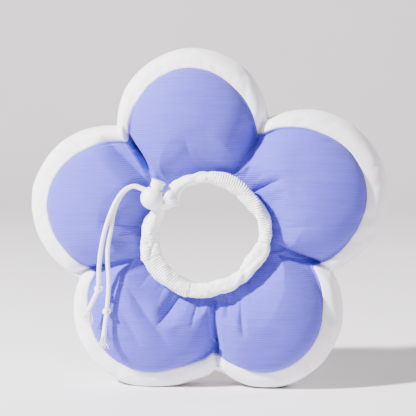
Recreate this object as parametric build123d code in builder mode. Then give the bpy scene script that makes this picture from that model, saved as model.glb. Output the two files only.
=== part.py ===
from build123d import *
import math
import os

# A soft, flower-shaped recovery collar for a small pet, standing on its two lower
# petals. Millimetres. +X is the wearer's left, the face looks along -Y, +Z is up.
# The origin is on the ground, under the middle of the collar.

# ---- driving dimensions ----
COVER_CLOTH = 1.2  # thickness of the cover's cloth
FILL_GAP = 0.3  # play between the cover and its filling
CROWN = 34.0  # half of a petal's thickness at its middle
SEAM_DEPTH = 24.0  # distance of the face seam from the middle plane
SEAM_INSET = 11.0  # how far the face seam sits inside the outline
SIDE_FLAT = 10.0  # half width of the straight part of the side band
BAND_SEAM_TURN = 3.5  # the band's joining seams lie this many degrees past the notches
BULGE_RADIUS = 14.4  # round of the side band next to the seam
BULGE_TURN = 38.0  # that round passes through this angle halfway to the seam
FRONT_REACH = 47.5  # how far the lock stands in front of the middle plane

# Direction from the flower's middle, distance and radius of each stuffed petal,
# as they settle when the collar stands on its two lower petals.
PETALS = {
    "top": (96.3, 81.6, 61.0),
    "upper_right": (19.9, 82.7, 66.3),
    "lower_right": (-54.1, 78.1, 64.7),
    "lower_left": (-122.9, 77.1, 63.9),
    "upper_left": (166.7, 75.7, 64.7),
}
FLOWER_HEIGHT = 125.5  # height of the flower's middle above the ground

NECK_OFFSET_X = 4.4  # the neck opening sits a little off the flower's middle
NECK_OFFSET_Z = -1.5
NECK_RADIUS = 41.0  # clear radius of the neck lining
LINING_CLOTH = 1.4
LINING_BACK = 15.0  # the lining reaches this far behind the middle plane
LINING_FRONT = 24.0
THROAT_RADIUS = 43.0  # inner edge of the two face panels
THROAT_DEPTH = 15.0  # half thickness of the cushion at the throat
DISH_RADIUS = 88.0  # the faces rise from the throat to here
DISH_MID_RADIUS = 60.0
DISH_MID_DEPTH = 27.0
DISH_RISE = 0.5  # the dish ends this far above the crown
PANEL_REACH = 70.0  # the face panels hold all of the cover nearer to the neck than this
SECTOR_REACH = 3.0  # a petal's sector, in distances of its notches
SECTOR_TIP = 2.4  # and in distances of its middle

CUFF_RADIUS = 47.0  # middle line of the rolled rib cuff
CUFF_TUBE = 5.6  # outer radius of the rolled cuff
CUFF_CLOTH = 1.4
CUFF_DEPTH = 27.5  # the cuff's middle line, in front of the middle plane
SLIT_ENDS = (106.0, 170.0)  # the casing is slit between these directions, behind the lock
SLIT_LIFT = 2.6  # the slit starts this far behind the cuff's middle line

CORD_DIAMETER = 3.5
LOOP_RADIUS = 45.4  # a drawn cord lies against the cuff's inner side
LANE = 1.8  # each of the two cords lies this far from the lock's middle
HOLE_TO_BEND = 16.7  # from the lock's middle to the cords' first bend outside it
INNER_BEND_REAR = -13.5  # the same for the rear and front cords inside the cuff
INNER_BEND_FRONT = -18.0
LOOP_START = 161.0  # the cord runs round the cuff from here
LOOP_TURN = 311.0
LOOP_STEPS = 21
BEND_SHARE = 0.45  # a bend takes up this share of the shorter run beside it

LOCK_X = -40.6  # the lock's ball, from the middle of the neck opening
LOCK_Z = 27.9
LOCK_DEPTH = 38.5
LOCK_TILT = 68.0  # direction of the plunger, from +X
BALL_RADIUS = 9.0
LOCK_TOP = 8.4  # flat rim of the ball round the plunger
BORE_RADIUS = 5.3
BORE_FLOOR = -3.3
POCKET_RADIUS = 3.7  # the spring's pocket below the bore
POCKET_FLOOR = -7.0
HOLE_LIFT = 3.6  # the cord hole is this far above the ball's middle
HOLE_PLAY = 0.2
SHANK_RADIUS = 5.1
SHANK_BOTTOM = -0.2
SHANK_TOP = 11.6
HEAD_TOP = 14.4
HEAD_FLARE = 5.9
HEAD_ROUND = 0.7
LOCK_ROOM = 0.5  # gap round the ball where it sits against the cuff
PRESS_TRAVEL = 3.0
LOCK_TRAVEL = 5.0
SPRING_RADIUS = 3.0
SPRING_WIRE = 0.35
SPRING_TURNS = 4.5
SPRING_PLAY = 0.05

KNOT_RADIUS = 3.5
KNOT_FLAT = 2.9  # the cord meets a knot this far from its middle
FRAY_RADIUS = 4.2

WIDE = 400.0  # larger than the whole collar, for cutting tools

# ---- places worked out from the dimensions ----
MID_Y = (FRONT_REACH - CROWN) / 2  # centres the collar's depth on the origin


def petal_offset(name):
    direction, distance, _ = PETALS[name]
    angle = math.radians(direction)
    return distance * math.cos(angle), distance * math.sin(angle)


LEFT_REACH = petal_offset("upper_left")[0] - PETALS["upper_left"][2]
RIGHT_REACH = petal_offset("upper_right")[0] + PETALS["upper_right"][2]
FLOWER_X = -(LEFT_REACH + RIGHT_REACH) / 2  # centres the collar's width on the origin
NECK_X = FLOWER_X + NECK_OFFSET_X
NECK_Z = FLOWER_HEIGHT + NECK_OFFSET_Z

neck_plane = Plane((NECK_X, MID_Y, NECK_Z))
neck_axis = Axis((NECK_X, MID_Y, NECK_Z), (0, 1, 0))
face_plane = Plane((FLOWER_X, MID_Y, FLOWER_HEIGHT), x_dir=(1, 0, 0), z_dir=(0, -1, 0))

press_direction = Vector(math.cos(math.radians(LOCK_TILT)), 0, math.sin(math.radians(LOCK_TILT)))
cord_direction = Vector(-press_direction.Z, 0, press_direction.X)
ball_centre = Vector(NECK_X + LOCK_X, MID_Y - LOCK_DEPTH, NECK_Z + LOCK_Z)
hole_centre = ball_centre + press_direction * HOLE_LIFT
lock_plane = Plane(ball_centre, x_dir=cord_direction, z_dir=press_direction)
hole_plane = Plane(hole_centre, x_dir=(0, -1, 0), z_dir=cord_direction)


def from_neck(x, depth, z):
    """A point given from the neck's middle, depth millimetres before the middle plane."""
    return Vector(NECK_X + x, MID_Y - depth, NECK_Z + z)


def on_cuff(angle, radius=LOOP_RADIUS):
    turn = math.radians(angle)
    return from_neck(radius * math.cos(turn), CUFF_DEPTH, radius * math.sin(turn))


# ---- the cushion's form ----
def petal_form(name, inset):
    """One petal, turned about its own middle, inset millimetres inside its outer face."""
    across, up = petal_offset(name)
    radius = PETALS[name][2]
    seam = radius - SEAM_INSET
    crown_round = (seam**2 + (CROWN - SEAM_DEPTH) ** 2) / (2 * (CROWN - SEAM_DEPTH))
    middle = Vector(FLOWER_X + across, MID_Y, FLOWER_HEIGHT + up)
    half_seam = seam / 2
    crown_mid = CROWN - crown_round + math.sqrt(crown_round**2 - half_seam**2)
    bulge_turn = math.radians(BULGE_TURN)
    bulge_centre = radius - BULGE_RADIUS
    bulge_mid = (
        bulge_centre + BULGE_RADIUS * math.cos(bulge_turn),
        SIDE_FLAT + BULGE_RADIUS * math.sin(bulge_turn),
    )
    with BuildPart() as form:
        with BuildSketch(Plane(middle)):
            with BuildLine():
                ThreePointArc((0, CROWN), (half_seam, crown_mid), (seam, SEAM_DEPTH))
                ThreePointArc((seam, SEAM_DEPTH), bulge_mid, (radius, SIDE_FLAT))
                Line((radius, SIDE_FLAT), (radius, 0))
                mirror(about=Plane.XZ)
                mirror(about=Plane.YZ)
            make_face()
            if inset:
                offset(amount=-inset, mode=Mode.REPLACE)
            Rectangle(WIDE, WIDE, align=(Align.MIN, Align.CENTER), mode=Mode.INTERSECT)
        revolve(axis=Axis(middle, (0, 1, 0)))
    return form.part


def throat_form(inset):
    """What the neck opening and its dished rims take away from the cushion."""
    with BuildPart() as form:
        with BuildSketch(neck_plane):
            with BuildLine():
                Line((0, 0), (THROAT_RADIUS, 0))
                Line((THROAT_RADIUS, 0), (THROAT_RADIUS, THROAT_DEPTH - inset))
                ThreePointArc(
                    (THROAT_RADIUS, THROAT_DEPTH - inset),
                    (DISH_MID_RADIUS, DISH_MID_DEPTH - inset),
                    (DISH_RADIUS, CROWN + DISH_RISE - inset),
                )
                Line((DISH_RADIUS, CROWN + DISH_RISE - inset), (DISH_RADIUS, WIDE / 4))
                Line((DISH_RADIUS, WIDE / 4), (0, WIDE / 4))
                Line((0, WIDE / 4), (0, 0))
            make_face()
            mirror(about=Plane.XZ)
        revolve(axis=neck_axis)
    return form.part


def cushion_form(inset):
    """The whole stuffed flower, inset millimetres inside the cover's outer face."""
    with BuildPart() as form:
        for name in PETALS:
            add(petal_form(name, inset))
        add(throat_form(inset), mode=Mode.SUBTRACT)
        with Locations((0, 0, inset)):
            Box(WIDE, WIDE, WIDE, align=(Align.CENTER, Align.CENTER, Align.MIN), mode=Mode.INTERSECT)
    return form.part


def notch(name, following):
    """Where the outlines of two neighbouring petals meet, from the flower's middle."""
    ax, az = petal_offset(name)
    bx, bz = petal_offset(following)
    gap = math.hypot(bx - ax, bz - az)
    along = (gap**2 + PETALS[name][2] ** 2 - PETALS[following][2] ** 2) / (2 * gap)
    rise = math.sqrt(PETALS[name][2] ** 2 - along**2)
    ux, uz = (bx - ax) / gap, (bz - az) / gap
    foot_x, foot_z = ax + along * ux, az + along * uz
    corners = [(foot_x + s * rise * uz, foot_z - s * rise * ux) for s in (-1, 1)]
    return max(corners, key=lambda corner: math.hypot(*corner))


names = list(PETALS)


def petal_sector(name, turn=0.0):
    """The share of the flower between the notches on both sides of one petal, turned a little."""
    place = names.index(name)
    before = notch(names[place - 1], name)
    after = notch(name, names[(place + 1) % len(names)])
    ends = [tuple(SECTOR_REACH * part for part in corner) for corner in (before, after)]
    middle = tuple(SECTOR_TIP * part for part in petal_offset(name))
    across = Vector(math.cos(math.radians(turn)), 0, math.sin(math.radians(turn)))
    with BuildPart() as sector:
        with BuildSketch(Plane(face_plane.origin, x_dir=across, z_dir=face_plane.z_dir)):
            Polygon((0, 0), ends[0], middle, ends[1], align=None)
        extrude(amount=WIDE / 2, both=True)
    return sector.part


outer_form = cushion_form(0)
inner_form = cushion_form(COVER_CLOTH)
with BuildPart() as cover:
    add(outer_form)
    add(inner_form, mode=Mode.SUBTRACT)
cover_shell = cover.part


def face_region(side):
    """The side of the cover that a face panel holds: +1 is the front, -1 the back."""
    outward = (0, -side, 0)
    with BuildPart() as region:
        with BuildSketch(Plane((0, MID_Y - side * SEAM_DEPTH, 0), x_dir=(1, 0, 0), z_dir=outward)):
            Rectangle(2 * WIDE, 2 * WIDE)
        extrude(amount=WIDE / 4)
        with BuildSketch(Plane((NECK_X, MID_Y, NECK_Z), x_dir=(1, 0, 0), z_dir=outward)):
            Circle(PANEL_REACH)
        extrude(amount=SEAM_DEPTH + 1)
    return region.part


front_region = face_region(1)
back_region = face_region(-1)

with BuildPart() as front_panel:
    add(cover_shell)
    add(front_region, mode=Mode.INTERSECT)

with BuildPart() as back_panel:
    add(cover_shell)
    add(back_region, mode=Mode.INTERSECT)

with BuildPart() as side_band:
    add(cover_shell)
    add(front_region, mode=Mode.SUBTRACT)
    add(back_region, mode=Mode.SUBTRACT)
side_shell = side_band.part

# ---- one strip of side band and one wad of filling for each petal ----
fill_form = cushion_form(COVER_CLOTH + FILL_GAP)
petal_parts = {}
for name in names:
    with BuildPart() as band_strip:
        add(side_shell)
        add(petal_sector(name, BAND_SEAM_TURN), mode=Mode.INTERSECT)
    petal_parts["side_band_" + name] = band_strip.part
    with BuildPart() as filling:
        add(fill_form)
        add(petal_sector(name), mode=Mode.INTERSECT)
    petal_parts["filling_" + name] = filling.part

# ---- neck lining: the wall of the opening, from the rib cuff to the back panel ----
with BuildPart() as neck_lining:
    with BuildSketch(neck_plane):
        with Locations((NECK_RADIUS, -LINING_FRONT)):
            Rectangle(LINING_CLOTH, LINING_FRONT + LINING_BACK + LINING_CLOTH, align=(Align.MIN, Align.MIN))
    revolve(axis=neck_axis)

# ---- rib cuff: a rolled casing for the cord, with a slit behind the lock ----
def slit_corner(angle):
    turn = math.radians(angle)
    reach = CUFF_RADIUS + BALL_RADIUS
    return reach * math.cos(turn), reach * math.sin(turn)


with BuildPart() as neck_cuff:
    with BuildSketch(neck_plane):
        with Locations((CUFF_RADIUS, -CUFF_DEPTH)):
            Circle(CUFF_TUBE)
            Circle(CUFF_TUBE - CUFF_CLOTH, mode=Mode.SUBTRACT)
    revolve(axis=neck_axis)
    # the slit, on the inner front of the casing
    with BuildSketch(Plane(from_neck(0, CUFF_DEPTH - SLIT_LIFT, 0), x_dir=(1, 0, 0), z_dir=(0, -1, 0))):
        with BuildLine():
            Polyline((0, 0), *[slit_corner(angle) for angle in SLIT_ENDS], close=True)
        make_face()
        Circle(CUFF_RADIUS, mode=Mode.INTERSECT)
    extrude(amount=CUFF_DEPTH, mode=Mode.SUBTRACT)
    # room for the lock, along its whole slide
    with BuildSketch(Plane(ball_centre, x_dir=(0, 1, 0), z_dir=cord_direction)):
        Circle(BALL_RADIUS + LOCK_ROOM)
    extrude(amount=BALL_RADIUS + LOCK_TRAVEL, both=True, mode=Mode.SUBTRACT)

# ---- drawstring ----
def lane_point(distance, lane):
    """A point on one of the two straight cords through the lock."""
    return hole_centre + cord_direction * distance + Vector(0, lane, 0)


def from_ground(x, depth, z):
    return Vector(x, MID_Y - depth, z)


loop_route = [
    lane_point(0, LANE),
    lane_point(INNER_BEND_REAR, LANE),
    from_neck(-31.5, 29.2, 22.5),
    *[on_cuff(LOOP_START + LOOP_TURN * step / LOOP_STEPS) for step in range(LOOP_STEPS + 1)],
    from_neck(-23.5, 32.5, 31.0),
    lane_point(INNER_BEND_FRONT, -LANE),
    lane_point(0, -LANE),
]

left_tail_route = [
    lane_point(0, -LANE),
    lane_point(HOLE_TO_BEND, -LANE),
    from_ground(-59.9, 40.6, 159.3),
    from_ground(-66.8, 41.2, 151.6),
    from_ground(-72.5, 41.2, 139.5),
    from_ground(-76.4, 40.6, 126.0),
    from_ground(-79.2, 39.8, 111.5),
    from_ground(-80.7, 39.2, 97.5),
    from_ground(-80.9, 39.0, 84.2),
]

right_tail_route = [
    lane_point(0, LANE),
    lane_point(HOLE_TO_BEND, LANE),
    from_ground(-59.6, 36.9, 159.0),
    from_ground(-65.4, 37.8, 151.2),
    from_ground(-69.2, 38.4, 140.5),
    from_ground(-70.9, 38.8, 128.5),
    from_ground(-73.2, 39.0, 116.0),
    from_ground(-73.9, 39.0, 103.0),
    from_ground(-73.0, 39.0, 90.0),
    from_ground(-73.1, 39.0, 77.5),
    from_ground(-74.4, 39.0, 66.6),
]


def corner_radii(route):
    """The largest arc that each corner's two runs leave room for."""
    radii = []
    for before, corner, after in zip(route, route[1:], route[2:]):
        turn = (corner - before).get_angle(after - corner)
        shorter = min((corner - before).length, (after - corner).length)
        radii.append(BEND_SHARE * shorter / math.tan(math.radians(turn / 2)))
    return radii


def cord(name, route):
    """A round cord along a route of straight runs joined by tangent arcs."""
    radii = corner_radii(route)
    with BuildPart() as tube:
        with BuildLine():
            path = FilletPolyline(*route, radius=radii)
        with BuildSketch(Plane(path @ 0, z_dir=path % 0)):
            Circle(CORD_DIAMETER / 2)
        sweep()
    expected = math.pi * CORD_DIAMETER**2 / 4 * path.length
    print(name, "length", round(path.length, 1), "radii", [round(r, 1) for r in radii])
    print(name, "volume over section times length", round(tube.part.volume / expected, 4))
    return tube.part


drawstring_loop = cord("drawstring_loop", loop_route)
drawstring_tail_left = cord("drawstring_tail_left", left_tail_route)
drawstring_tail_right = cord("drawstring_tail_right", right_tail_route)


def knot(name, route, loose_corner):
    """An overhand knot pulled tight, flat where the cord meets it on either side."""
    arriving = (route[-1] - route[-2]).normalized()
    centre = route[-1] + arriving * KNOT_FLAT
    leaving = (loose_corner - centre).normalized()
    with BuildPart() as ball:
        with Locations(centre):
            Sphere(KNOT_RADIUS)
        for outward in (-arriving, leaving):
            split(bisect_by=Plane(centre + outward * KNOT_FLAT, z_dir=outward), keep=Keep.BOTTOM)
    print(name, "centre", [round(part, 2) for part in centre])
    return ball.part, centre + leaving * KNOT_FLAT


def tassel(name, start, corner, end, fray_end):
    """The cord's loose end below a knot, with its strands frayed out."""
    with BuildPart() as loose_end:
        with BuildLine():
            path = FilletPolyline(start, corner, end, radius=corner_radii([start, corner, end]))
        with BuildSketch(Plane(path @ 0, z_dir=path % 0)):
            Circle(CORD_DIAMETER / 2)
        sweep()
        with BuildSketch(Plane(end, z_dir=fray_end - end)):
            Circle(CORD_DIAMETER / 2)
        with BuildSketch(Plane(fray_end, z_dir=fray_end - end)):
            Circle(FRAY_RADIUS)
        loft()
    print(name, "loose end", round(path.length, 1), "and fray", round((fray_end - end).length, 1))
    return loose_end.part


left_loose_end = [
    from_ground(-84.4, 39.0, 73.6),
    from_ground(-89.0, 38.6, 64.0),
    from_ground(-90.6, 38.4, 54.2),
]
right_loose_end = [
    from_ground(-76.0, 38.8, 53.0),
    from_ground(-77.2, 38.4, 44.0),
    from_ground(-77.0, 38.2, 35.0),
]
knot_left, left_start = knot("knot_left", left_tail_route, left_loose_end[0])
knot_right, right_start = knot("knot_right", right_tail_route, right_loose_end[0])
tassel_left = tassel("tassel_left", left_start, *left_loose_end)
tassel_right = tassel("tassel_right", right_start, *right_loose_end)

# ---- cord lock: body, sprung plunger and spring ----
slot_width = 2 * LANE + CORD_DIAMETER + 2 * HOLE_PLAY
slot_height = CORD_DIAMETER + 2 * HOLE_PLAY

with BuildPart() as lock_body:
    with BuildSketch(Plane(ball_centre, x_dir=cord_direction, z_dir=(0, 1, 0))):
        Circle(BALL_RADIUS)
        Rectangle(WIDE, WIDE, align=(Align.MIN, Align.CENTER), mode=Mode.INTERSECT)
    revolve(axis=Axis(ball_centre, press_direction))
    with BuildSketch(lock_plane.offset(LOCK_TOP)):
        Circle(BALL_RADIUS)
    extrude(amount=BALL_RADIUS, mode=Mode.SUBTRACT)
    with BuildSketch(lock_plane.offset(BORE_FLOOR)):
        Circle(BORE_RADIUS)
    extrude(amount=2 * BALL_RADIUS, mode=Mode.SUBTRACT)
    with BuildSketch(lock_plane.offset(POCKET_FLOOR)):
        Circle(POCKET_RADIUS)
    extrude(amount=BALL_RADIUS, mode=Mode.SUBTRACT)
    with BuildSketch(hole_plane):
        SlotOverall(slot_width, slot_height)
    extrude(amount=2 * BALL_RADIUS, both=True, mode=Mode.SUBTRACT)

with BuildPart() as lock_plunger:
    with BuildSketch(lock_plane.offset(SHANK_BOTTOM)):
        Circle(SHANK_RADIUS)
    extrude(amount=SHANK_TOP - SHANK_BOTTOM)
    with BuildSketch(lock_plane.offset(SHANK_TOP)):
        Circle(SHANK_RADIUS)
    with BuildSketch(lock_plane.offset(HEAD_TOP)):
        Circle(HEAD_FLARE)
    loft()
    fillet(lock_plunger.edges().sort_by(Axis(ball_centre, press_direction))[-1], HEAD_ROUND)
    # the cord window, long enough for the cords at both ends of the press
    with BuildSketch(hole_plane):
        with Locations((0, PRESS_TRAVEL / 2)):
            Rectangle(slot_width, slot_height + PRESS_TRAVEL)
    extrude(amount=2 * BALL_RADIUS, both=True, mode=Mode.SUBTRACT)

spring_length = SHANK_BOTTOM - POCKET_FLOOR - 2 * (SPRING_WIRE + SPRING_PLAY)
with BuildPart() as lock_spring:
    with BuildLine():
        coil = Helix(
            spring_length / SPRING_TURNS,
            spring_length,
            SPRING_RADIUS,
            center=ball_centre + press_direction * (POCKET_FLOOR + SPRING_WIRE + SPRING_PLAY),
            direction=press_direction,
        )
    with BuildSketch(Plane(coil @ 0, z_dir=coil % 0)):
        Circle(SPRING_WIRE)
    sweep(is_frenet=True)

# ---- files ----
pieces = {
    "front_panel": front_panel.part,
    "back_panel": back_panel.part,
    **petal_parts,
    "neck_lining": neck_lining.part,
    "neck_cuff": neck_cuff.part,
    "drawstring_loop": drawstring_loop,
    "drawstring_tail_left": drawstring_tail_left,
    "drawstring_tail_right": drawstring_tail_right,
    "knot_left": knot_left,
    "knot_right": knot_right,
    "tassel_left": tassel_left,
    "tassel_right": tassel_right,
    "lock_body": lock_body.part,
    "lock_plunger": lock_plunger.part,
    "lock_spring": lock_spring.part,
}
os.makedirs("parts", exist_ok=True)
for node, piece in pieces.items():
    piece.label = node
    export_step(piece, "parts/" + node + ".step")

print("neck centre", round(NECK_X, 2), round(MID_Y, 2), round(NECK_Z, 2))
print("ball centre", [round(c, 2) for c in ball_centre])
print("cord direction", [round(c, 4) for c in cord_direction])
print("press direction", [round(c, 4) for c in press_direction])
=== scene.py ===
import math
import random

import bpy
import numpy as np
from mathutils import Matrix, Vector, noise


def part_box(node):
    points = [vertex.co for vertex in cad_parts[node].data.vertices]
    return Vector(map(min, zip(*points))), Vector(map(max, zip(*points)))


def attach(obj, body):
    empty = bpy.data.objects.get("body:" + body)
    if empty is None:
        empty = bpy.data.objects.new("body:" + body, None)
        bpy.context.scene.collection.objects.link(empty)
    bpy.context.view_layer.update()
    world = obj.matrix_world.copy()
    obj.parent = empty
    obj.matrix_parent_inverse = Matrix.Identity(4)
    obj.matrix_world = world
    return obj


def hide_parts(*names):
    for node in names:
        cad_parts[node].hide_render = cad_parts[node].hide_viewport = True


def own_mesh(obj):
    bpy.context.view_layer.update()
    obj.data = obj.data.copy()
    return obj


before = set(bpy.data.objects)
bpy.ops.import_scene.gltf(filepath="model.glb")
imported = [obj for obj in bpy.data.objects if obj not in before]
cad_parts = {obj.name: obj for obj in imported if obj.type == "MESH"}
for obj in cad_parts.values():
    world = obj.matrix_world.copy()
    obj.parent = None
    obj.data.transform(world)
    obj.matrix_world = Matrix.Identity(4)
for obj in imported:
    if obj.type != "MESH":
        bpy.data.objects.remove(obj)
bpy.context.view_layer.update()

MM = 0.001
rng = random.Random(7)


# ---------------------------------------------------------------- the frame
def middle_of(node):
    """The middle of a CAD node's box."""
    low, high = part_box(node)
    return [(a + b) / 2 for a, b in zip(low, high)]


NECK_X, _, NECK_Z = middle_of("neck_cuff")
MID_Y = middle_of("side_band_top")[1]
FLOWER_ASIDE = 4.4 * MM  # the neck opening isn't quite in the flower's middle
FLOWER_ABOVE = 1.5 * MM
FLOWER_X = NECK_X - FLOWER_ASIDE
FLOWER_Z = NECK_Z + FLOWER_ABOVE

# Direction from the flower's middle (degrees), distance and radius (millimetres) of each petal.
PETALS = [
    (96.3, 81.6, 61.0),
    (19.9, 82.7, 66.3),
    (-54.1, 78.1, 64.7),
    (-122.9, 77.1, 63.9),
    (166.7, 75.7, 64.7),
]
SEAM_INSET = 15.0 * MM  # how far inside the outline the two seams run
SEAM_DEPTH = 20.5 * MM  # how far each seam lies from the middle plane
CROWN = 37.5 * MM  # half thickness over a petal's middle, before the cover is blown up
CROWN_ROUND = 0.68  # how round the petal is, from its seam up to its crown
PAST_SEAM_DROP = 0.04  # how fast the surface falls outside the seam
CLOTH = 1.0 * MM
BOTTOM_NOTCH = math.radians(270)
NOTCH_LEAN = math.radians(3.2)  # how far the bottom notch is moved, and over what spread
NOTCH_SPREAD = math.radians(14)
NOTCH_FILL = 4.0 * MM  # how far the bottom notch is filled, and over what width
NOTCH_WIDTH = math.radians(4.0)
NOTCH_INSET = 17.0 * MM  # the most that a seam comes inside the outline at a notch
SLACK = 1.6 * MM  # the cover starts this much smaller than it ends up
THROAT_RADIUS = 43.2 * MM
THROAT_DEPTH = 15.0 * MM
THROAT_FLARE = 4.5 * MM  # how much larger the opening's radius is at the back
DISH_WIDTH = 45.0 * MM  # the cushion rises over this distance from the opening
DISH_OVER = 0.6 * MM  # and would end this much over the crown
SIDE_ARC = 0.96  # share of a half turn that the side's section goes through
SIDE_BULGE = 0.62  # less is squarer


# ---------------------------------------------------------------- camera and lights
VIEW_AZIMUTH = math.radians(6.0)
VIEW_ELEVATION = math.radians(5.0)
VIEW_DISTANCE = 1.25
VIEW_WIDTH = 0.3282  # width of the view at the collar
AIM_HEIGHT = 0.1412
SENSOR = 36.0

to_camera = Vector(
    (
        math.sin(VIEW_AZIMUTH) * math.cos(VIEW_ELEVATION),
        -math.cos(VIEW_AZIMUTH) * math.cos(VIEW_ELEVATION),
        math.sin(VIEW_ELEVATION),
    )
)
aim = Vector((0.0, MID_Y, AIM_HEIGHT))
camera_data = bpy.data.cameras.new("camera")
camera_data.sensor_width = SENSOR
camera_data.lens = SENSOR * VIEW_DISTANCE / VIEW_WIDTH
camera = bpy.data.objects.new("camera", camera_data)
camera.location = aim + to_camera * VIEW_DISTANCE
camera.rotation_euler = to_camera.to_track_quat("Z", "Y").to_euler()
bpy.context.scene.collection.objects.link(camera)
bpy.context.scene.camera = camera


def area_light(name, place, size, power, colour):
    """A square light that points at the middle of the collar."""
    data = bpy.data.lights.new(name, "AREA")
    data.size = size
    data.energy = power
    data.color = colour
    lamp = bpy.data.objects.new(name, data)
    lamp.location = place
    lamp.rotation_euler = (Vector(place) - aim).to_track_quat("Z", "Y").to_euler()
    bpy.context.scene.collection.objects.link(lamp)


area_light("key", (-1.45, -1.05, 1.45), 0.16, 250.0, (1.0, 0.98, 0.96))
area_light("fill", (1.1, -1.4, 0.4), 1.4, 3.0, (0.93, 0.92, 1.0))
area_light("rim", (1.35, 0.75, 1.0), 0.5, 19.0, (1.0, 0.97, 0.94))

world = bpy.data.worlds.new("studio")
bpy.context.scene.world = world
world.use_nodes = True
sky = world.node_tree.nodes["Background"]
sky.inputs["Color"].default_value = (0.90, 0.86, 0.90, 1)
sky.inputs["Strength"].default_value = 0.22


# ---------------------------------------------------------------- materials
class Shader:
    """A principled material with a few helpers for building its node network."""

    def __init__(self, name):
        self.material = bpy.data.materials.new(name)
        self.material.use_nodes = True
        self.nodes = self.material.node_tree.nodes
        self.links = self.material.node_tree.links
        self.surface = self.nodes["Principled BSDF"]

    def add(self, kind, **values):
        """A new node; a value that isn't an input is set as a property."""
        node = self.nodes.new(kind)
        for key, value in values.items():
            if key in node.inputs:
                node.inputs[key].default_value = value
            else:
                setattr(node, key, value)
        return node

    def join(self, source, output, target, socket):
        self.links.new(source.outputs[output], target.inputs[socket])

    def set(self, **values):
        """Constants on the principled node's inputs, with _ for a space."""
        for key, value in values.items():
            self.surface.inputs[key.replace("_", " ")].default_value = value

    def position(self, scale):
        """Object coordinates, stretched by three factors."""
        where = self.add("ShaderNodeTexCoord")
        mapping = self.add("ShaderNodeMapping")
        mapping.inputs["Scale"].default_value = scale
        self.join(where, "Object", mapping, "Vector")
        return mapping

    def noise(self, scale, detail=3.0, roughness=0.55, stretch=(1, 1, 1)):
        texture = self.add("ShaderNodeTexNoise", Scale=scale, Detail=detail, Roughness=roughness)
        self.join(self.position(stretch), "Vector", texture, "Vector")
        return texture

    def colours(self, source, output, low, high):
        """The base colour, between two colours that the source picks from."""
        ramp = self.add("ShaderNodeValToRGB")
        ramp.color_ramp.elements[0].position = 0.3
        ramp.color_ramp.elements[1].position = 0.7
        ramp.color_ramp.elements[0].color = (*low, 1)
        ramp.color_ramp.elements[1].color = (*high, 1)
        self.join(source, output, ramp, "Fac")
        self.join(ramp, "Color", self.surface, "Base Color")

    def bumps(self, *layers):
        """Bump maps in a chain: (node, output, strength, distance)."""
        previous = None
        for node, output, strength, distance in layers:
            bump = self.add("ShaderNodeBump", Strength=strength, Distance=distance)
            self.join(node, output, bump, "Height")
            if previous:
                self.join(previous, "Normal", bump, "Normal")
            previous = bump
        self.join(previous, "Normal", self.surface, "Normal")


def face_cloth():
    s = Shader("periwinkle_cloth")
    slub = s.noise(160.0, 4.0, 0.6, (0.16, 0.5, 4.2))
    weave = s.noise(2600.0, 2.0, 0.5, (1.0, 1.0, 1.6))
    wrinkle = s.noise(46.0, 3.0, 0.5, (0.45, 1.0, 2.4))
    crepe = s.add("ShaderNodeTexWave", bands_direction="Z", Scale=215.0, Distortion=5.0)
    crepe.inputs["Detail"].default_value = 2.0
    crepe.inputs["Detail Scale"].default_value = 0.35
    s.join(s.position((0.6, 0.6, 1.0)), "Vector", crepe, "Vector")
    s.colours(slub, "Fac", (0.078, 0.066, 0.560), (0.098, 0.084, 0.620))
    s.set(Roughness=0.82, Sheen_Weight=0.12, Sheen_Roughness=0.5)
    s.bumps(
        (wrinkle, "Fac", 0.22, 0.0014),
        (crepe, "Fac", 0.55, 0.00035),
        (slub, "Fac", 0.3, 0.0004),
        (weave, "Fac", 0.35, 0.00012),
    )
    return s.material


def white_cloth():
    s = Shader("white_cloth")
    patch = s.noise(22.0, 3.0)
    weave = s.noise(2400.0, 2.0, 0.5, (1.0, 1.0, 1.4))
    slack = s.noise(55.0, 3.0, 0.5)
    s.colours(patch, "Fac", (0.80, 0.79, 0.85), (0.86, 0.85, 0.90))
    s.set(Roughness=0.85, Sheen_Weight=0.2, Sheen_Roughness=0.5)
    s.bumps((slack, "Fac", 0.25, 0.0012), (weave, "Fac", 0.35, 0.00012))
    return s.material


def rib_knit():
    s = Shader("rib_knit")
    patch = s.noise(60.0, 3.0)
    loops = s.noise(2200.0, 2.0, 0.5)
    s.colours(patch, "Fac", (0.83, 0.82, 0.86), (0.90, 0.89, 0.92))
    s.set(Roughness=0.9, Sheen_Weight=0.3, Sheen_Roughness=0.6)
    s.bumps((loops, "Fac", 0.5, 0.0002))
    return s.material


def braided_cord():
    s = Shader("braided_cord")
    patch = s.noise(300.0, 3.0)
    fibre = s.noise(3200.0, 2.0, 0.6)
    s.colours(patch, "Fac", (0.82, 0.81, 0.87), (0.90, 0.89, 0.93))
    s.set(Roughness=0.88, Sheen_Weight=0.25)
    s.bumps((fibre, "Fac", 0.5, 0.00012))
    return s.material


def moulded_plastic():
    s = Shader("moulded_plastic")
    mottle = s.noise(180.0, 2.0)
    grain = s.noise(1500.0, 2.0)
    s.colours(mottle, "Fac", (0.84, 0.84, 0.88), (0.89, 0.89, 0.92))
    s.set(Roughness=0.34, IOR=1.47)
    s.bumps((grain, "Fac", 0.15, 0.00006))
    return s.material


def spring_wire():
    s = Shader("spring_wire")
    drawn = s.noise(900.0, 2.0, 0.5, (1, 1, 6))
    s.colours(drawn, "Fac", (0.42, 0.42, 0.44), (0.60, 0.60, 0.62))
    s.set(Metallic=1.0, Roughness=0.28)
    s.bumps((drawn, "Fac", 0.2, 0.00004))
    return s.material


MATERIALS = {
    "face_cloth": face_cloth(),
    "white_cloth": white_cloth(),
    "rib_knit": rib_knit(),
    "cord_cotton": braided_cord(),
    "lock_plastic": moulded_plastic(),
    "spring_steel": spring_wire(),
}


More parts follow.
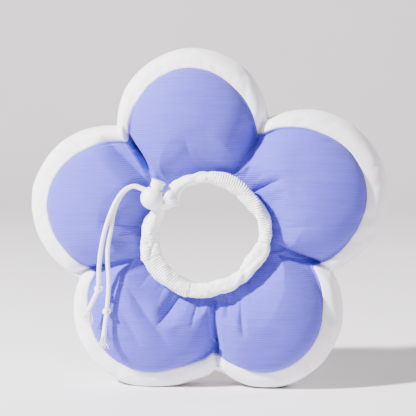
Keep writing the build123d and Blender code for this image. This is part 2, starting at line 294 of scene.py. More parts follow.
# ---------------------------------------------------------------- mesh helpers
def make_piece(name, points, faces, slot, body="collar"):
    """A smooth piece from points and faces, with its material, slot and body."""
    mesh = bpy.data.meshes.new(name)
    mesh.from_pydata([tuple(p) for p in points], [], faces)
    mesh.update()
    piece = bpy.data.objects.new(name, mesh)
    bpy.context.scene.collection.objects.link(piece)
    mesh.materials.append(MATERIALS[slot])
    mesh.polygons.foreach_set("use_smooth", [True] * len(mesh.polygons))
    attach(piece, body)
    return piece


def grid_faces(rows, columns, close_rows=False, flip=False):
    """Quads of a grid of points stored row by row, each row closed on itself."""
    faces = []
    for row in range(rows if close_rows else rows - 1):
        for column in range(columns):
            right = (column + 1) % columns
            below = (row + 1) % rows
            faces.append(
                (
                    row * columns + column,
                    row * columns + right,
                    below * columns + right,
                    below * columns + column,
                )
            )
    return [face[::-1] for face in faces] if flip else faces


def capped_faces(rows, columns, first=0):
    """Faces of a tube closed at both ends, whose points start at number first."""
    faces = [tuple(first + k for k in face) for face in grid_faces(rows, columns)]
    faces.append(tuple(first + k for k in reversed(range(columns))))
    faces.append(tuple(first + (rows - 1) * columns + k for k in range(columns)))
    return faces


def apply_modifiers(piece):
    """Puts the mesh that the modifiers make in the place of the piece's own."""
    graph = bpy.context.evaluated_depsgraph_get()
    made = bpy.data.meshes.new_from_object(piece.evaluated_get(graph))
    old = piece.data
    piece.modifiers.clear()
    piece.data = made
    bpy.data.meshes.remove(old)


def rings_along(path, closed=False):
    """A frame (place, side, up) at each point of a path, turning as little as it can."""
    path = np.asarray(path, float)
    steps = np.gradient(path, axis=0)
    if closed:
        steps = np.roll(path, -1, 0) - np.roll(path, 1, 0)
    steps /= np.linalg.norm(steps, axis=1)[:, None]
    side = np.cross(steps[0], (0.0, 1.0, 0.0))
    side /= np.linalg.norm(side)
    frames = []
    for place, step in zip(path, steps):
        side = side - step * (side @ step)
        side /= np.linalg.norm(side)
        frames.append((place, side, np.cross(step, side)))
    return frames


def tube_points(frames, radius, columns):
    """Points round each frame; radius(row, turn) gives the tube's radius there."""
    points = []
    for row, (place, side, up) in enumerate(frames):
        for column in range(columns):
            turn = 2 * math.pi * column / columns
            points.append(place + (side * math.cos(turn) + up * math.sin(turn)) * radius(row, turn))
    return points


# ---------------------------------------------------------------- cords
CORD_RADIUS = 1.75 * MM
CORD_COLUMNS = 20
BRAID_PITCH = 5.2 * MM
BRAID_STRANDS = 4
GOLDEN_ANGLE = 2.399963  # radians; steps of it spread points evenly over a disc

# The middle of the lock's ball, seen from the neck opening's middle.
LOCK_ASIDE = 40.6 * MM
LOCK_FORWARD = 38.5 * MM
LOCK_ABOVE = 27.9 * MM
BALL = Vector((NECK_X - LOCK_ASIDE, MID_Y - LOCK_FORWARD, NECK_Z + LOCK_ABOVE))

# The button is pressed along PRESS and the lock slides along SLIDE.
PRESS_TILT = math.radians(68)
PRESS = Vector((math.cos(PRESS_TILT), 0, math.sin(PRESS_TILT)))
SLIDE = Vector((-PRESS.z, 0, PRESS.x))
HOLE_LIFT = 3.6  # millimetres from the ball's middle to the cords' hole
HOLE = BALL + PRESS * HOLE_LIFT * MM
LANE = 1.8 * MM  # each cord runs this far beside the hole's middle
LANE_MARKS = (0, 10.2, 16.9)  # millimetres that the cords run straight on from the hole


def lane_points(lane):
    return [HOLE + SLIDE * mark * MM + Vector((0, lane, 0)) for mark in LANE_MARKS]


def at(x, depth, z):
    """A place in millimetres, its depth taken forward from the middle plane."""
    return Vector((x * MM, MID_Y - depth * MM, z * MM))


# Control points of the two hanging lengths, from the lock's hole down to the knot.
LEFT_ROUTE = [
    *lane_points(-LANE),
    at(-60.2, 40.6, 158.4),
    at(-66.2, 41.0, 150.8),
    at(-71.6, 41.0, 138.6),
    at(-75.9, 40.6, 126.0),
    at(-79.0, 39.8, 111.5),
    at(-80.7, 39.2, 97.5),
    at(-80.9, 39.0, 84.2),
]
RIGHT_ROUTE = [
    *lane_points(LANE),
    at(-59.8, 37.2, 158.2),
    at(-65.4, 37.8, 150.4),
    at(-69.4, 38.6, 139.6),
    at(-70.9, 39.0, 128.0),
    at(-73.4, 39.0, 116.0),
    at(-74.0, 39.0, 103.0),
    at(-72.9, 39.0, 90.0),
    at(-73.2, 39.0, 77.5),
    at(-74.4, 39.0, 66.6),
]


def route_points(route, spacing):
    """Points along the NURBS line with the route as its control points, and its length."""
    curve = bpy.data.curves.new("route", "CURVE")
    curve.dimensions = "3D"
    curve.resolution_u = 40
    spline = curve.splines.new("NURBS")
    spline.points.add(len(route) - 1)
    for point, place in zip(spline.points, route):
        point.co = (*place, 1)
    spline.order_u = 3
    spline.use_endpoint_u = True
    line = bpy.data.objects.new("route", curve)
    bpy.context.scene.collection.objects.link(line)
    graph = bpy.context.evaluated_depsgraph_get()
    mesh = bpy.data.meshes.new_from_object(line.evaluated_get(graph))
    raw = np.array([v.co for v in mesh.vertices], float)
    bpy.data.objects.remove(line)
    bpy.data.meshes.remove(mesh)
    steps = np.linalg.norm(np.diff(raw, axis=0), axis=1)
    reach = np.concatenate([[0], np.cumsum(steps)])
    count = max(8, round(reach[-1] / spacing))
    marks = np.linspace(0, reach[-1], count)
    return np.stack([np.interp(marks, reach, raw[:, k]) for k in range(3)], 1), reach[-1]


def braid(spacing, amount=0.09):
    """The relief of a round braid: crossing spirals."""

    def radius(row, turn):
        along = 2 * math.pi * row * spacing / BRAID_PITCH
        one_way = math.sin(BRAID_STRANDS * turn + along * 2)
        other_way = math.sin(BRAID_STRANDS * turn - along * 2)
        return CORD_RADIUS * (1 - amount / 2 + amount * (one_way * other_way))

    return radius


def cord_piece(name, route):
    """A braided cord along a route, with its middle line and length."""
    spacing = 0.55 * MM
    points, length = route_points(route, spacing)
    body = tube_points(rings_along(points), braid(spacing), CORD_COLUMNS)
    piece = make_piece(name, body, capped_faces(len(points), CORD_COLUMNS), "cord_cotton")
    return piece, points, length


KNOT_STEPS = 150
KNOT_COLUMNS = 18
KNOT_LOBE = 1.75
KNOT_WIDE = 0.78
KNOT_DEEP = 1.25
KNOT_THIN = 0.86  # the cord is pulled thinner in the knot


def knot_piece(name, centre, along):
    """A tight overhand knot: the cord wound over itself in three lobes."""
    along = Vector(along).normalized()
    side = along.cross(Vector((0, 1, 0))).normalized()
    up = side.cross(along)
    path = []
    for step in range(KNOT_STEPS):
        t = 2 * math.pi * step / KNOT_STEPS
        across = side * (math.sin(t) + KNOT_LOBE * math.sin(2 * t))
        across += up * (math.cos(t) - KNOT_LOBE * math.cos(2 * t))
        path.append(centre + across * KNOT_WIDE * MM - along * math.sin(3 * t) * KNOT_DEEP * MM)
    frames = rings_along(path, closed=True)
    relief = braid(0.25 * MM, 0.08)
    points = tube_points(frames, lambda row, turn: relief(row, turn) * KNOT_THIN, KNOT_COLUMNS)
    faces = grid_faces(len(path), KNOT_COLUMNS, close_rows=True)
    return make_piece(name, points, faces, "cord_cotton")


STRANDS = 46
STRAND_SIDES = 6
STRAND_ROWS = 9
STRAND_RADIUS = 0.24 * MM
STRAND_CURL = 0.9 * MM
STRAND_TUCK = 1.2 * MM  # each strand starts this far inside the cord
CORD_OPENING = 0.25  # how much the cord widens towards its loose end


def tassel_piece(name, start, corner, end, fray_end, seed):
    """The cord's loose end, untwisting into strands that fan out."""
    spacing = 0.5 * MM
    points, _ = route_points([start, corner, end], spacing)
    frames = rings_along(points)
    relief = braid(spacing)

    def opening(row, turn):
        return relief(row, turn) * (1 + CORD_OPENING * (row / (len(points) - 1)) ** 4)

    def thinning(row, _):
        return STRAND_RADIUS * (1 - 0.45 * row / (STRAND_ROWS - 1))

    body = tube_points(frames, opening, CORD_COLUMNS)
    faces = capped_faces(len(points), CORD_COLUMNS)
    place, side, up = frames[-1]
    out = np.array(fray_end - end)
    reach = np.linalg.norm(out)
    out /= reach
    draw = random.Random(seed)
    for strand in range(STRANDS):
        turn = GOLDEN_ANGLE * strand
        spread = math.sqrt((strand + 0.5) / STRANDS)
        away = side * math.cos(turn) + up * math.sin(turn)
        root = place + away * CORD_RADIUS * 1.05 * spread - out * STRAND_TUCK
        length = reach * draw.uniform(0.72, 1.08)
        splay = spread * draw.uniform(0.12, 0.62)
        curl = np.array([draw.uniform(-1, 1) for _ in range(3)]) * STRAND_CURL
        path = []
        for row in range(STRAND_ROWS):
            t = row / (STRAND_ROWS - 1)
            wave = math.sin(t * math.pi * draw.uniform(0.9, 1.1)) * curl
            fan = away * splay * length * t**1.5
            path.append(root + out * (length + STRAND_TUCK) * t + fan + wave)
        faces += capped_faces(STRAND_ROWS, STRAND_SIDES, first=len(body))
        body += tube_points(rings_along(path), thinning, STRAND_SIDES)
    return make_piece(name, body, faces, "cord_cotton")


KNOT_BEYOND = 2.9  # millimetres from the cord's end on to the knot's middle
LOOSE_FROM = 1.6  # millimetres from the knot's middle on to the loose end


def knot_place(route):
    arriving = (route[-1] - route[-2]).normalized()
    return route[-1] + arriving * KNOT_BEYOND * MM


def hanging_end(side, route, loose):
    """One hanging length of the drawstring, with its knot and its frayed end."""
    cord, line, length = cord_piece("cord_" + side, route)
    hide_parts("drawstring_tail_" + side)
    centre = knot_place(route)
    knot = knot_piece("overhand_knot_" + side, centre, loose[0] - route[-2])
    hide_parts("knot_" + side)
    start = centre + (loose[0] - centre).normalized() * LOOSE_FROM * MM
    tassel = tassel_piece("frayed_end_" + side, start, *loose, seed=len(side))
    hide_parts("tassel_" + side)


hanging_end(
    "left", LEFT_ROUTE, (at(-84.4, 39.0, 73.6), at(-89.0, 38.6, 64.0), at(-90.6, 38.4, 54.2))
)
hanging_end(
    "right", RIGHT_ROUTE, (at(-76.0, 38.8, 53.0), at(-77.2, 38.4, 44.0), at(-77.0, 38.2, 35.0))
)


# ---------------------------------------------------------------- cushion
PETAL_FORMS = [
    (
        distance * MM * math.cos(math.radians(direction)),
        distance * MM * math.sin(math.radians(direction)),
        radius * MM,
    )
    for direction, distance, radius in PETALS
]


def off_bottom(turn):
    """The angle from the bottom notch, at most half a turn either way."""
    return (turn - BOTTOM_NOTCH + math.pi) % (2 * math.pi) - math.pi


def settled(turn):
    """The bottom notch leans aside, because the two petals beside it carry the weight."""
    off = off_bottom(turn)
    return turn - NOTCH_LEAN * math.exp(-(((off - NOTCH_LEAN) / NOTCH_SPREAD) ** 2))


def outline(turn, inset):
    """How far the flower reaches in one direction, inset inside its outline."""
    turn = settled(turn)
    reach = plain_outline(turn, 0.0) - NOTCH_INSET * inset / SEAM_INSET if inset else 0.0
    fill = NOTCH_FILL * math.exp(-((off_bottom(turn) / NOTCH_WIDTH) ** 2))
    return max(reach, plain_outline(turn, inset)) + fill


def plain_outline(turn, inset):
    """The outline of the petal circles alone, each made smaller by the inset."""
    reach = 0.0
    for across, up, radius in PETAL_FORMS:
        along = across * math.cos(turn) + up * math.sin(turn)
        off = -across * math.sin(turn) + up * math.cos(turn)
        room = (radius - SLACK - inset) ** 2 - off**2
        if room > 0:
            reach = max(reach, along + math.sqrt(room))
    return reach


def throat(turn, flare):
    """Distance from the flower's middle to the neck opening's edge."""
    x, z = NECK_X - FLOWER_X, NECK_Z - FLOWER_Z
    along = x * math.cos(turn) + z * math.sin(turn)
    off = -x * math.sin(turn) + z * math.cos(turn)
    return along + math.sqrt((THROAT_RADIUS + flare) ** 2 - off**2)


def swell(x, z):
    """Half thickness of the cushion over a point of the middle plane."""
    height = 0.0
    for across, up, radius in PETAL_FORMS:
        rho = math.hypot(x - across, z - up) / (radius - SLACK - SEAM_INSET)
        if rho < 1:
            height = max(height, SEAM_DEPTH + (CROWN - SEAM_DEPTH) * (1 - rho**2) ** CROWN_ROUND)
        else:
            height = max(height, SEAM_DEPTH - (rho - 1) * PAST_SEAM_DROP)
    reach = math.hypot(x - (NECK_X - FLOWER_X), z - (NECK_Z - FLOWER_Z))
    share = min(1.0, max(0.0, (reach - THROAT_RADIUS) / DISH_WIDTH))
    rise = math.sin(share * math.pi / 2) ** 1.5
    return min(height, THROAT_DEPTH + (CROWN + DISH_OVER - THROAT_DEPTH) * rise)


# The cover's grid: its rows go from the opening over the front to the outline, over the side
# and the back, and through the opening's wall to the front again.
COLUMNS = 320
FRONT_ROWS = 34
SIDE_ROWS = 16
BACK_ROWS = 20
WALL_ROWS = 5


def cushion_points():
    """The cover before it is blown up, and how many rows it has."""
    rows = [("face", row / FRONT_ROWS, -1) for row in range(FRONT_ROWS + 1)]
    rows += [("side", row / SIDE_ROWS, 0) for row in range(1, SIDE_ROWS)]
    rows += [("face", 1 - row / BACK_ROWS, 1) for row in range(BACK_ROWS + 1)]
    rows += [("wall", row / WALL_ROWS, 0) for row in range(1, WALL_ROWS)]
    points = []
    for kind, share, side in rows:
        for column in range(COLUMNS):
            turn = 2 * math.pi * column / COLUMNS
            widening = {-1: 0.0, 1: THROAT_FLARE, 0: THROAT_FLARE * (1 - share)}[side]
            inner = throat(turn, widening)
            if kind == "face":
                reach = inner + (outline(turn, SEAM_INSET) - inner) * share
                bent = settled(turn)
                depth = swell(reach * math.cos(bent), reach * math.sin(bent)) * side
                if share == 1:
                    depth = SEAM_DEPTH * side
            elif kind == "side":
                angle = math.pi * (share - 0.5)
                depth = SEAM_DEPTH * math.sin(angle * SIDE_ARC) / math.sin(math.pi / 2 * SIDE_ARC)
                bulge = abs(math.cos(angle)) ** SIDE_BULGE
                reach = outline(turn, SEAM_INSET * (1 - bulge))
            else:
                reach = inner
                depth = THROAT_DEPTH * (1 - 2 * share)
            x = FLOWER_X + reach * math.cos(turn)
            z = FLOWER_Z + reach * math.sin(turn)
            points.append((x, MID_Y + depth, z))
    return points, len(rows)


points, row_count = cushion_points()
cushion_faces = grid_faces(row_count, COLUMNS, close_rows=True, flip=True)
cushion = make_piece("cushion", points, cushion_faces, "white_cloth")


SIM_FRAMES = 20
LARGEST_SHIFT = 4.0 * MM


def pin_rows(piece, name, rows):
    """Holds whole rows of the grid still."""
    group = piece.vertex_groups.new(name=name)
    for row in rows:
        first = row * COLUMNS
        group.add(list(range(first, first + COLUMNS)), 1.0, "REPLACE")


def inflate(piece):
    """Blows the cover up between its seams, so that the cloth pulls and puckers."""
    back_seam = FRONT_ROWS + SIDE_ROWS
    wall = range(back_seam + BACK_ROWS, row_count)
    pin_rows(piece, "seams", [0, FRONT_ROWS, back_seam, *wall])
    cloth = piece.modifiers.new("cloth", "CLOTH")
    settings = cloth.settings
    settings.quality = 6
    settings.mass = 0.25
    settings.tension_stiffness = 18
    settings.compression_stiffness = 18
    settings.shear_stiffness = 6
    settings.bending_stiffness = 0.4
    settings.use_pressure = True
    settings.uniform_pressure_force = 3.2
    settings.vertex_group_mass = "seams"
    settings.pin_stiffness = 1.0
    settings.shrink_min = -0.012
    settings.effector_weights.gravity = 0
    cloth.collision_settings.use_collision = False
    cloth.point_cache.frame_start = 1
    cloth.point_cache.frame_end = SIM_FRAMES
    scene = bpy.context.scene
    for step in range(1, SIM_FRAMES + 1):
        scene.frame_set(step)
    graph = bpy.context.evaluated_depsgraph_get()
    made = piece.evaluated_get(graph).to_mesh()
    moved = np.array([v.co for v in made.vertices], float)
    rest = np.array([v.co for v in piece.data.vertices], float)
    piece.modifiers.remove(cloth)
    shift = moved - rest
    far = np.linalg.norm(shift, axis=1)
    shift *= np.minimum(1, LARGEST_SHIFT / np.maximum(far, 1e-9))[:, None]
    piece.data.vertices.foreach_set("co", (rest + shift).ravel())
    scene.frame_set(1)


inflate(cushion)


# Creases drawn into the face: start (x, z), end (x, z), depth and width, in millimetres.
CREASE_RUNOUT = 0.15  # share of its length that a crease fades out over, past each end
CREASE_WANDER = 1.2
RIDGE_SHARE = 0.09  # the cloth stands up a little beside a crease
RIDGE_PLACE = 2.6
CREASES = [
    ((7.1, 68.0), (9.8, 14.0), 12.0, 2.2),
    ((8.0, 56.0), (9.8, 10.0), 4.0, 7.0),
    ((-62.5, 201.0), (-43.5, 169.5), 17.0, 1.5),
    ((-76.0, 194.0), (-38.0, 157.0), 11.0, 5.0),
    ((34.0, 154.0), (58.0, 166.0), 6.0, 2.2),
    ((58.0, 114.0), (96.0, 95.5), 12.0, 2.4),
    ((60.0, 112.0), (100.0, 94.0), 6.0, 9.0),
    ((-64.0, 102.0), (-102.0, 91.0), 9.0, 2.8),
    ((-74.0, 98.0), (-106.0, 90.0), 7.0, 9.0),
    ((46.0, 218.0), (33.0, 172.0), 8.0, 9.0),
    ((46.0, 218.0), (39.0, 192.0), 8.0, 2.2),
    ((-64.0, 204.0), (-40.0, 166.0), 4.0, 10.0),
    ((28.1, 72.0), (30.9, 47.0), 4.0, 1.8),
    ((18.0, 74.0), (18.5, 58.0), 2.4, 1.8),
    ((-16.0, 77.0), (-35.0, 54.0), 7.0, 3.6),
    ((-5.0, 72.0), (-10.0, 52.0), 3.0, 2.4),
    ((-57.7, 79.4), (-30.4, 40.6), 3.0, 3.0),
    ((-64.0, 62.0), (-50.0, 38.0), 2.0, 2.6),
    ((-50.0, 128.0), (-78.0, 132.0), 4.0, 5.0),
    ((-46.0, 108.0), (-72.0, 98.0), 4.0, 4.0),
    ((58.0, 128.0), (86.0, 131.0), 1.6, 4.0),
    ((-8.0, 176.0), (-14.0, 196.0), 1.6, 4.0),
]

# Directions of the notches (degrees), seen from the flower's middle, that gather the back.
NOTCH_TURNS = [58.0, -17.5, -91.0, 203.0, 131.0]

# The back's gathers and the puckers round its opening, in millimetres.
GATHER_DEPTH = 10.0
GATHER_FROM = 52
GATHER_GROWTH = 30
GATHER_WIDTH = 4.0
GATHER_WANDER = 1.5
PUCKER_COUNT = 46
PUCKER_DEPTH = 1.3
PUCKER_FROM = 46
PUCKER_FADE = 13


def back_depth(x, z):
    """The back's gathers: soft valleys out to the notches, and puckers round the opening."""
    across, up = x - FLOWER_X, z - FLOWER_Z
    reach = math.hypot(across, up) / MM
    turn = math.degrees(math.atan2(up, across))
    total = 0.0
    for notch in NOTCH_TURNS:
        off = abs((turn - notch + 180) % 360 - 180) * math.radians(1) * reach
        off = abs(off + GATHER_WANDER * noise.noise(Vector((x * 40, z * 40, notch))))
        growth = min(1, max(0, (reach - GATHER_FROM) / GATHER_GROWTH))
        total += GATHER_DEPTH * growth * math.exp(-off / GATHER_WIDTH)
    near = math.exp(-max(0.0, reach - PUCKER_FROM) / PUCKER_FADE)
    shift = 5 * noise.noise(Vector((x * 25, z * 25, 0.4)))
    pucker = math.sin(math.radians(turn) * PUCKER_COUNT + shift)
    return (total + PUCKER_DEPTH * near * max(pucker, -0.4)) * MM


def crease_depth(x, z):
    """How far the face is drawn in at a point, in metres."""
    total = 0.0
    for (ax, az), (bx, bz), depth, width in CREASES:
        px, pz = x / MM - ax, z / MM - az
        dx, dz = bx - ax, bz - az
        length = math.hypot(dx, dz)
        along = (px * dx + pz * dz) / length**2
        wander = CREASE_WANDER * noise.noise(Vector((x, z, depth * 0.1)) * 45)
        off = abs((px * dz - pz * dx) / length + wander)
        if along < -CREASE_RUNOUT or along > 1 + CREASE_RUNOUT or off > 5 * width:
            continue
        share = (along + CREASE_RUNOUT) / (1 + 2 * CREASE_RUNOUT)
        fade = math.sin(math.pi * min(1, max(0, share)))
        ridge = RIDGE_SHARE * math.exp(-(((off - RIDGE_PLACE * width) / width) ** 2))
        total += depth * fade * (math.exp(-off / width) - ridge)
    return total * MM


# The room that the lock takes on its slide, as balls: their middles, and radii in millimetres.
BALL_RADIUS = 9.0
BUTTON_RADIUS = 5.9
SLIDE_REACH = 5.0
LOCK_GAP = 0.45
LOCK_SWEEP = [
    (BALL + SLIDE * far * MM, BALL_RADIUS) for far in (0.0, SLIDE_REACH / 2, SLIDE_REACH)
]
for lift in (6.0, 9.0, 12.0):
    for far in (0.0, SLIDE_REACH):
        LOCK_SWEEP.append((BALL + PRESS * lift * MM + SLIDE * far * MM, BUTTON_RADIUS))


def clear_of_lock(place):
    """Presses a soft surface point back to where the lock leaves it room."""
    for centre, radius in LOCK_SWEEP:
        away = place - centre
        room = (radius + LOCK_GAP) * MM
        if away.length < room:
            place = centre + away.normalized() * room
    return place


def draw_in_seams(piece):
    """Pulls the two seams into the stuffing by about 0.9 mm, unevenly from stitch to stitch."""
    vertices = piece.data.vertices
    for row in (FRONT_ROWS, FRONT_ROWS + SIDE_ROWS):
        for column in range(COLUMNS):
            vertex = vertices[row * COLUMNS + column]
            place = vertex.co.copy()
            pull = 0.9 + 0.5 * noise.noise(place * 260) + rng.uniform(-0.15, 0.15)
            vertex.co = place - vertex.normal * pull * MM


LUMP_HEIGHT = 0.6
FACING = 0.25  # surface that faces less than this to the front or back isn't creased
CREASE_CLEAR = 5.0 * MM  # nor is surface this near the middle plane


def dress(piece):
    """One subdivision, then the creases and the small waves of the stuffed cloth."""
    subdivision = piece.modifiers.new("finer", "SUBSURF")
    subdivision.levels = 1
    subdivision.render_levels = 1
    apply_modifiers(piece)
    mesh = piece.data
    place = np.array([v.co for v in mesh.vertices], float)
    normals = np.array([v.normal for v in mesh.vertices], float)
    for p, n in zip(place, normals):
        lump = noise.noise(Vector(p) * 34)
        lump += noise.noise(Vector((p[0] * 60, p[1] * 60, p[2] * 130))) * 0.4
        p += n * (lump * MM * LUMP_HEIGHT)
        if n[1] < -FACING and p[1] < MID_Y - CREASE_CLEAR:
            p[1] += crease_depth(p[0], p[2]) * min(1, (-n[1] - FACING) * 3)
        if n[1] > FACING and p[1] > MID_Y + CREASE_CLEAR:
            p[1] -= back_depth(p[0], p[2]) * min(1, (n[1] - FACING) * 3)
        p[:] = clear_of_lock(Vector(p))
        p[2] = max(p[2], 0.0)  # the ground
    mesh.vertices.foreach_set("co", place.ravel())
    mesh.update()


draw_in_seams(cushion)
dress(cushion)


def split_cover(whole):
    """The one inflated cover as the pieces it is sewn from."""
    bounds_rows = {
        "front_cloth": (0, FRONT_ROWS),
        "side_cloth": (FRONT_ROWS, FRONT_ROWS + SIDE_ROWS),
        "back_cloth": (FRONT_ROWS + SIDE_ROWS, row_count),
    }
    mesh = whole.data
    quads_each = len(mesh.polygons) // len(cushion_faces)
    made = {}
    for name, (first, last) in bounds_rows.items():
        chosen = [
            tuple(polygon.vertices)
            for polygon in mesh.polygons
            if first <= (polygon.index // quads_each) // COLUMNS < last
        ]
        used = sorted({v for face in chosen for v in face})
        renumber = {v: k for k, v in enumerate(used)}
        points = [mesh.vertices[v].co.copy() for v in used]
        faces = [tuple(renumber[v] for v in face) for face in chosen]
        slot = "face_cloth" if name == "front_cloth" else "white_cloth"
        made[name] = make_piece(name, points, faces, slot)
        thickness = made[name].modifiers.new("cloth", "SOLIDIFY")
        thickness.thickness = CLOTH
        thickness.offset = -1
        apply_modifiers(made[name])
    bpy.data.objects.remove(whole)
    return made


cover = split_cover(cushion)
PETAL_NAMES = ("top", "upper_right", "lower_right", "lower_left", "upper_left")
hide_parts("front_panel", *["filling_" + name for name in PETAL_NAMES])
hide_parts(*["side_band_" + name for name in PETAL_NAMES])
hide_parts("back_panel")


# ---------------------------------------------------------------- neck cuff
RIBS = 148
RIB_SAMPLES = 9
RIB_RELIEF = 0.75  # millimetres
RIB_SLANT = 2.2  # degrees that a rib leans either way as it goes round the tube
CUFF_COLUMNS = 40
CUFF_FACET = 0.09  # shares of the tube's size, as are the next three
CUFF_LUMP = 0.09
CUFF_FINE_LUMP = 0.06
CUFF_PINCH = 0.15

# Direction, middle radius, half width, half height, depth before the cushion's middle plane
# (millimetres), and how clearly the knit's ribs stand out.
CUFF_SHAPE = [
    (0, 46.4, 4.7, 5.6, 27.5, 0.9),
    (15, 45.9, 4.8, 5.6, 27.2, 1.0),
    (30, 43.8, 5.7, 5.9, 27.8, 1.0),
    (45, 42.9, 5.7, 5.8, 27.3, 1.0),
    (60, 42.7, 5.8, 5.8, 27.6, 1.0),
    (75, 43.4, 5.6, 5.7, 27.3, 1.0),
    (86, 43.4, 4.4, 5.2, 27.2, 0.7),
    (90, 43.3, 4.3, 5.4, 27.6, 0.15),
    (105, 43.0, 4.1, 5.8, 28.0, 0.12),
    (117, 42.6, 4.6, 6.2, 29.2, 0.12),
    (124, 41.2, 5.9, 7.0, 30.6, 0.15),
    (129, 39.4, 6.9, 8.4, 32.4, 0.20),
    (134, 37.9, 7.0, 9.1, 33.7, 0.30),
    (139, 37.8, 6.3, 8.4, 33.0, 0.40),
    (145, 38.8, 5.2, 6.4, 30.8, 0.45),
    (151, 40.2, 4.4, 5.2, 27.8, 0.50),
    (165, 42.3, 6.3, 5.9, 27.5, 0.35),
    (180, 43.6, 7.1, 6.2, 27.8, 0.35),
    (190, 45.2, 7.6, 6.0, 27.2, 0.55),
    (203, 46.9, 8.0, 6.4, 27.8, 0.85),
    (215, 46.6, 7.4, 5.8, 27.2, 1.0),
    (228, 46.0, 6.9, 6.2, 27.7, 1.0),
    (240, 46.2, 6.4, 6.0, 27.4, 1.0),
    (252, 46.0, 6.1, 6.2, 27.8, 0.9),
    (256, 45.6, 5.6, 5.6, 27.4, 0.15),
    (270, 44.0, 5.7, 6.2, 27.6, 0.12),
    (285, 42.8, 5.8, 6.3, 27.8, 0.12),
    (300, 43.1, 5.3, 6.0, 27.5, 0.12),
    (315, 42.8, 5.3, 6.0, 27.6, 0.12),
    (330, 42.7, 6.8, 6.4, 27.9, 0.12),
    (345, 44.4, 6.3, 6.2, 27.6, 0.15),
    (352, 45.4, 5.2, 5.6, 27.2, 0.6),
]

# Direction of each place where the cuff twists over itself, and how strongly.
CUFF_FOLDS = [
    (88, 1.0),
    (117, 0.5),
    (151, 0.7),
    (190, 0.5),
    (205, 0.6),
    (254, 1.0),
    (322, 0.6),
    (351, 1.0),
]

# Creases along the cuff: from and to these directions (degrees), from and to these turns
# round the tube (radians; 0 is its outer side, a quarter turn its front), depth as a share of
# the tube's size, and width (radians).
CUFF_GROOVES = [
    (156, 198, 0.2, 1.9, 0.26, 0.20),
    (184, 216, 2.7, 0.8, 0.28, 0.20),
    (166, 186, 2.5, 1.6, 0.20, 0.20),
    (226, 258, 0.7, 2.2, 0.18, 0.22),
    (300, 350, 2.5, 1.0, 0.20, 0.26),
    (262, 300, 1.1, 2.0, 0.12, 0.26),
    (20, 86, 2.4, 1.1, 0.14, 0.26),
    (92, 118, 0.8, 2.2, 0.18, 0.24),
]


def rib_wave(turn):
    """The knit's relief round the opening, from -0.6 between two ribs to 0.4 on a rib."""
    return abs(math.cos(turn * RIBS / 2)) ** 0.7 - 0.6


def groove(angle, around):
    """How deep the creases along the cuff are at one place on it."""
    depth = 0.0
    for start, end, turn_from, turn_to, deep, width in CUFF_GROOVES:
        share = (angle - start) / (end - start)
        if 0 < share < 1:
            off = around - turn_from - (turn_to - turn_from) * share
            depth += deep * math.sin(math.pi * share) * math.exp(-abs(off) / width)
    return depth


def cuff_form(angle):
    """The cuff's shape in one direction, taken between its neighbours in the table."""
    table = np.array(CUFF_SHAPE, float)
    before, after = table.copy(), table.copy()
    before[:, 0] -= 360
    after[:, 0] += 360
    whole = np.concatenate([before, table, after])
    return [np.interp(angle, whole[:, 0], whole[:, k]) for k in range(1, 6)]


def fold_pinch(angle):
    """How far the cuff is pinched where it twists over itself."""
    pinch = 0.0
    for place, strength in CUFF_FOLDS:
        off = (angle - place + 180) % 360 - 180
        pinch += strength * math.exp(-abs(off) / 1.3)
    return pinch


def cuff_piece():
    """The rolled rib cuff, a tube that twists and folds as the cord gathers it."""
    rows = RIBS * RIB_SAMPLES
    points = []
    for row in range(rows):
        angle = 360 * row / rows
        turn = math.radians(angle)
        out = Vector((math.cos(turn), 0, math.sin(turn)))
        radius, half, tall, depth, clearness = (float(v) for v in cuff_form(angle))
        pinch = fold_pinch(angle)
        roll = 3.0 * noise.noise(Vector((out.x * 1.6, out.z * 1.6, 3.3)))
        middle = Vector((NECK_X, MID_Y, NECK_Z)) + (out * radius - Vector((0, depth, 0))) * MM
        for column in range(CUFF_COLUMNS):
            around = 2 * math.pi * column / CUFF_COLUMNS
            slant = angle + RIB_SLANT * math.sin(around + roll)
            relief = RIB_RELIEF * rib_wave(math.radians(slant)) * clearness
            facet = CUFF_FACET * math.cos(3 * (around + 1.3 * roll))
            where = Vector((out.x * 7, out.z * 7, 1.4 * math.cos(around)))
            lump = CUFF_LUMP * noise.noise(where) + CUFF_FINE_LUMP * noise.noise(where * 2.7)
            size = 1 + facet + lump - CUFF_PINCH * pinch - groove(angle, around)
            aside = out * math.cos(around) * (half * size + relief) * MM
            forward = Vector((0, math.sin(around) * (tall * size + relief) * MM, 0))
            points.append(clear_of_lock(middle + aside - forward))
    faces = grid_faces(rows, CUFF_COLUMNS, close_rows=True, flip=True)
    piece = make_piece("rib_cuff", points, faces, "rib_knit")
    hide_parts("neck_cuff")


cuff_piece()


LINING_RADIUS = 41.4 * MM
LINING_THICKNESS = 1.0 * MM
LINING_RIB = 0.4 * MM
LINING_WAVE = 0.6 * MM
HEM_FLARE = 1.6 * MM  # how much further the hem opens out, to meet the back cloth


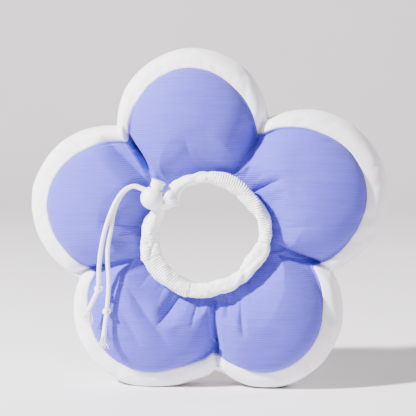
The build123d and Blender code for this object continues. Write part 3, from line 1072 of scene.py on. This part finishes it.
def lining_piece():
    """The wall of the opening, ribbed along its depth and opening out a little to the back."""
    low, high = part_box("neck_lining")
    rows = 24
    columns = RIBS * 6
    points = []
    for side in (0, 1):
        for row in range(rows):
            share = row / (rows - 1)
            depth = low[1] + (high[1] - low[1]) * share
            for column in range(columns):
                turn = 2 * math.pi * column / columns
                across, up = math.cos(turn), math.sin(turn)
                wave = noise.noise(Vector((across * 3, up * 3, share * 2)))
                reach = LINING_RADIUS - rib_wave(turn) * LINING_RIB + wave * LINING_WAVE
                reach += side * LINING_THICKNESS + THROAT_FLARE * share**1.5 + HEM_FLARE * share**6
                points.append((NECK_X + reach * across, depth, NECK_Z + reach * up))
    faces = grid_faces(rows, columns)
    shift = rows * columns
    faces += [tuple(shift + k for k in reversed(face)) for face in grid_faces(rows, columns)]
    for column in range(columns):
        right = (column + 1) % columns
        last = (rows - 1) * columns
        faces.append((right, column, shift + column, shift + right))
        faces.append((last + column, last + right, shift + last + right, shift + last + column))
    piece = make_piece("neck_wall", points, faces, "rib_knit")
    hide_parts("neck_lining")


lining_piece()


# ---------------------------------------------------------------- kept CAD nodes
for node, slot in {
    "drawstring_loop": "cord_cotton",
    "lock_body": "lock_plastic",
    "lock_plunger": "lock_plastic",
    "lock_spring": "spring_steel",
}.items():
    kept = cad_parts[node]
    kept.data.materials.clear()
    kept.data.materials.append(MATERIALS[slot])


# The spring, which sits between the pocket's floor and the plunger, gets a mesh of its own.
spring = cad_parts["lock_spring"]
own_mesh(spring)


# ---------------------------------------------------------------- backdrop
SHEET_HALF_WIDTH = 5.0
SHEET_FRONT = -4.0
SHEET_TOP = 4.5
SWEEP_FROM = 1.6
SWEEP_RADIUS = 0.9
SWEEP_STEPS = 12


def backdrop():
    """A pale sheet that lies on the ground and sweeps up far behind the collar."""
    profile = [(SHEET_FRONT, 0.0), (SWEEP_FROM, 0.0)]
    for step in range(1, SWEEP_STEPS + 1):
        turn = math.radians(90 * step / SWEEP_STEPS)
        y = SWEEP_FROM + SWEEP_RADIUS * math.sin(turn)
        profile.append((y, SWEEP_RADIUS - SWEEP_RADIUS * math.cos(turn)))
    profile.append((SWEEP_FROM + SWEEP_RADIUS, SHEET_TOP))
    points = [(x, y, z) for x in (-SHEET_HALF_WIDTH, SHEET_HALF_WIDTH) for y, z in profile]
    mesh = bpy.data.meshes.new("backdrop")
    count = len(profile)
    mesh.from_pydata(points, [], [(k, count + k, count + k + 1, k + 1) for k in range(count - 1)])
    mesh.polygons.foreach_set("use_smooth", [True] * len(mesh.polygons))
    sheet = bpy.data.objects.new("backdrop", mesh)
    bpy.context.scene.collection.objects.link(sheet)
    s = Shader("pale_paper")
    tone = s.noise(3.0, 2.0)
    s.colours(tone, "Fac", (0.80, 0.77, 0.79), (0.83, 0.80, 0.82))
    s.set(Roughness=0.9)
    mesh.materials.append(s.material)


backdrop()
